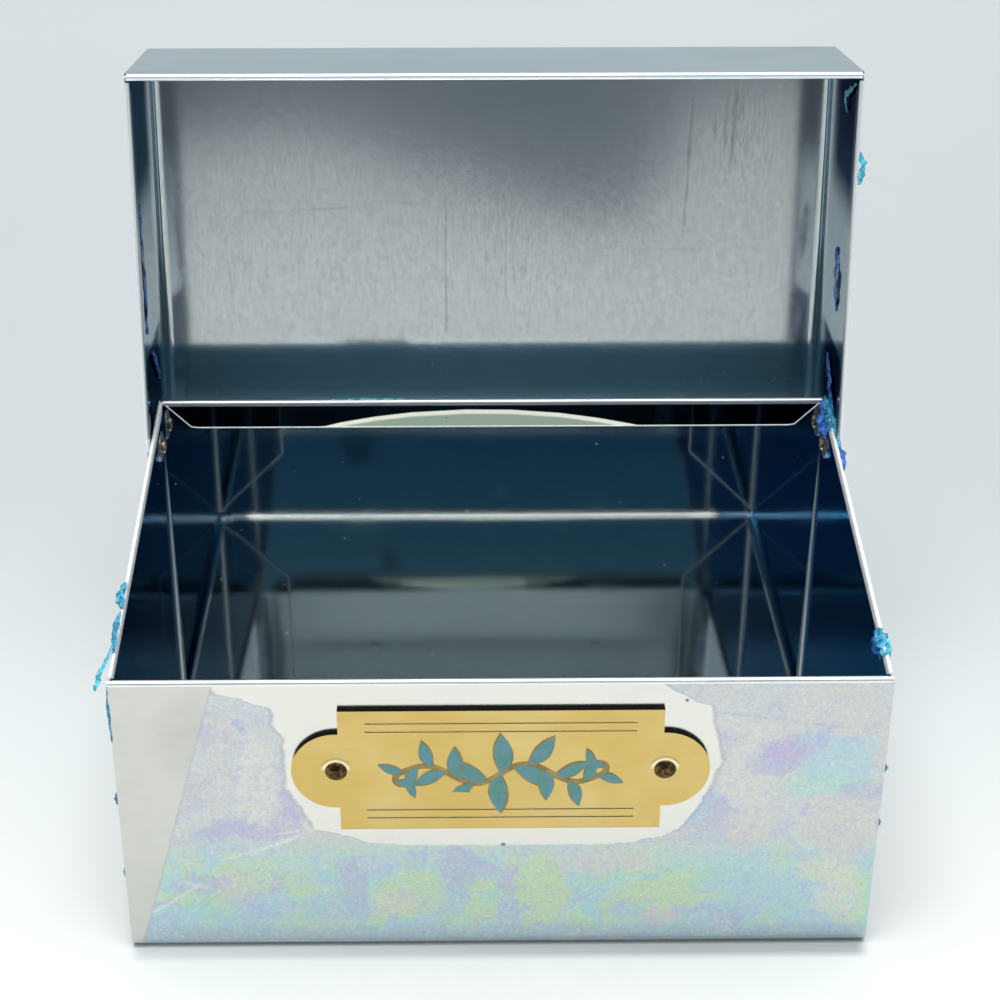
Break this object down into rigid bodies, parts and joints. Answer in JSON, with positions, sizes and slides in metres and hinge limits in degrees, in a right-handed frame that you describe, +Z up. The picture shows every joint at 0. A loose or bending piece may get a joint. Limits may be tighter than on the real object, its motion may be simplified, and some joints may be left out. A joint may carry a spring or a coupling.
{
  "type": "recipe card box",
  "caption": "Folded sheet-metal card box with a deep lid hinged on side rivets, shown open against its stop, and a blank brass nameplate on the front.",
  "frame": {"origin": "centre of the body's underside", "axes": "+Z up, +X to the right when facing the nameplate, +Y to the back"},
  "size_m": [0.1442, 0.116, 0.1465],
  "materials": {
    "tinplate": "bright mirror-like tinplate with a faint oil-film tint",
    "rivet_brass": "plain brass",
    "washer_steel": "bright plated steel",
    "plate_brass": "satin brass",
    "pin_bronze": "dark bronzed brass"
  },
  "bodies": {
    "body": {"body_shell": "tinplate", "pivot_rivet_left": "rivet_brass", "pivot_rivet_right": "rivet_brass", "rivet_washer_left": "washer_steel", "rivet_washer_right": "washer_steel", "nameplate": "plate_brass", "nameplate_pin_left": "pin_bronze", "nameplate_pin_right": "pin_bronze"},
    "lid": {"lid_shell": "tinplate"}
  },
  "joints": [
    {"name": "lid_hinge", "type": "hinge", "parent": "body", "child": "lid", "pos_m": [0, 0.0357, 0.06749], "axis": [1, 0, 0], "range_deg": [0, 98.4]}
  ]
}
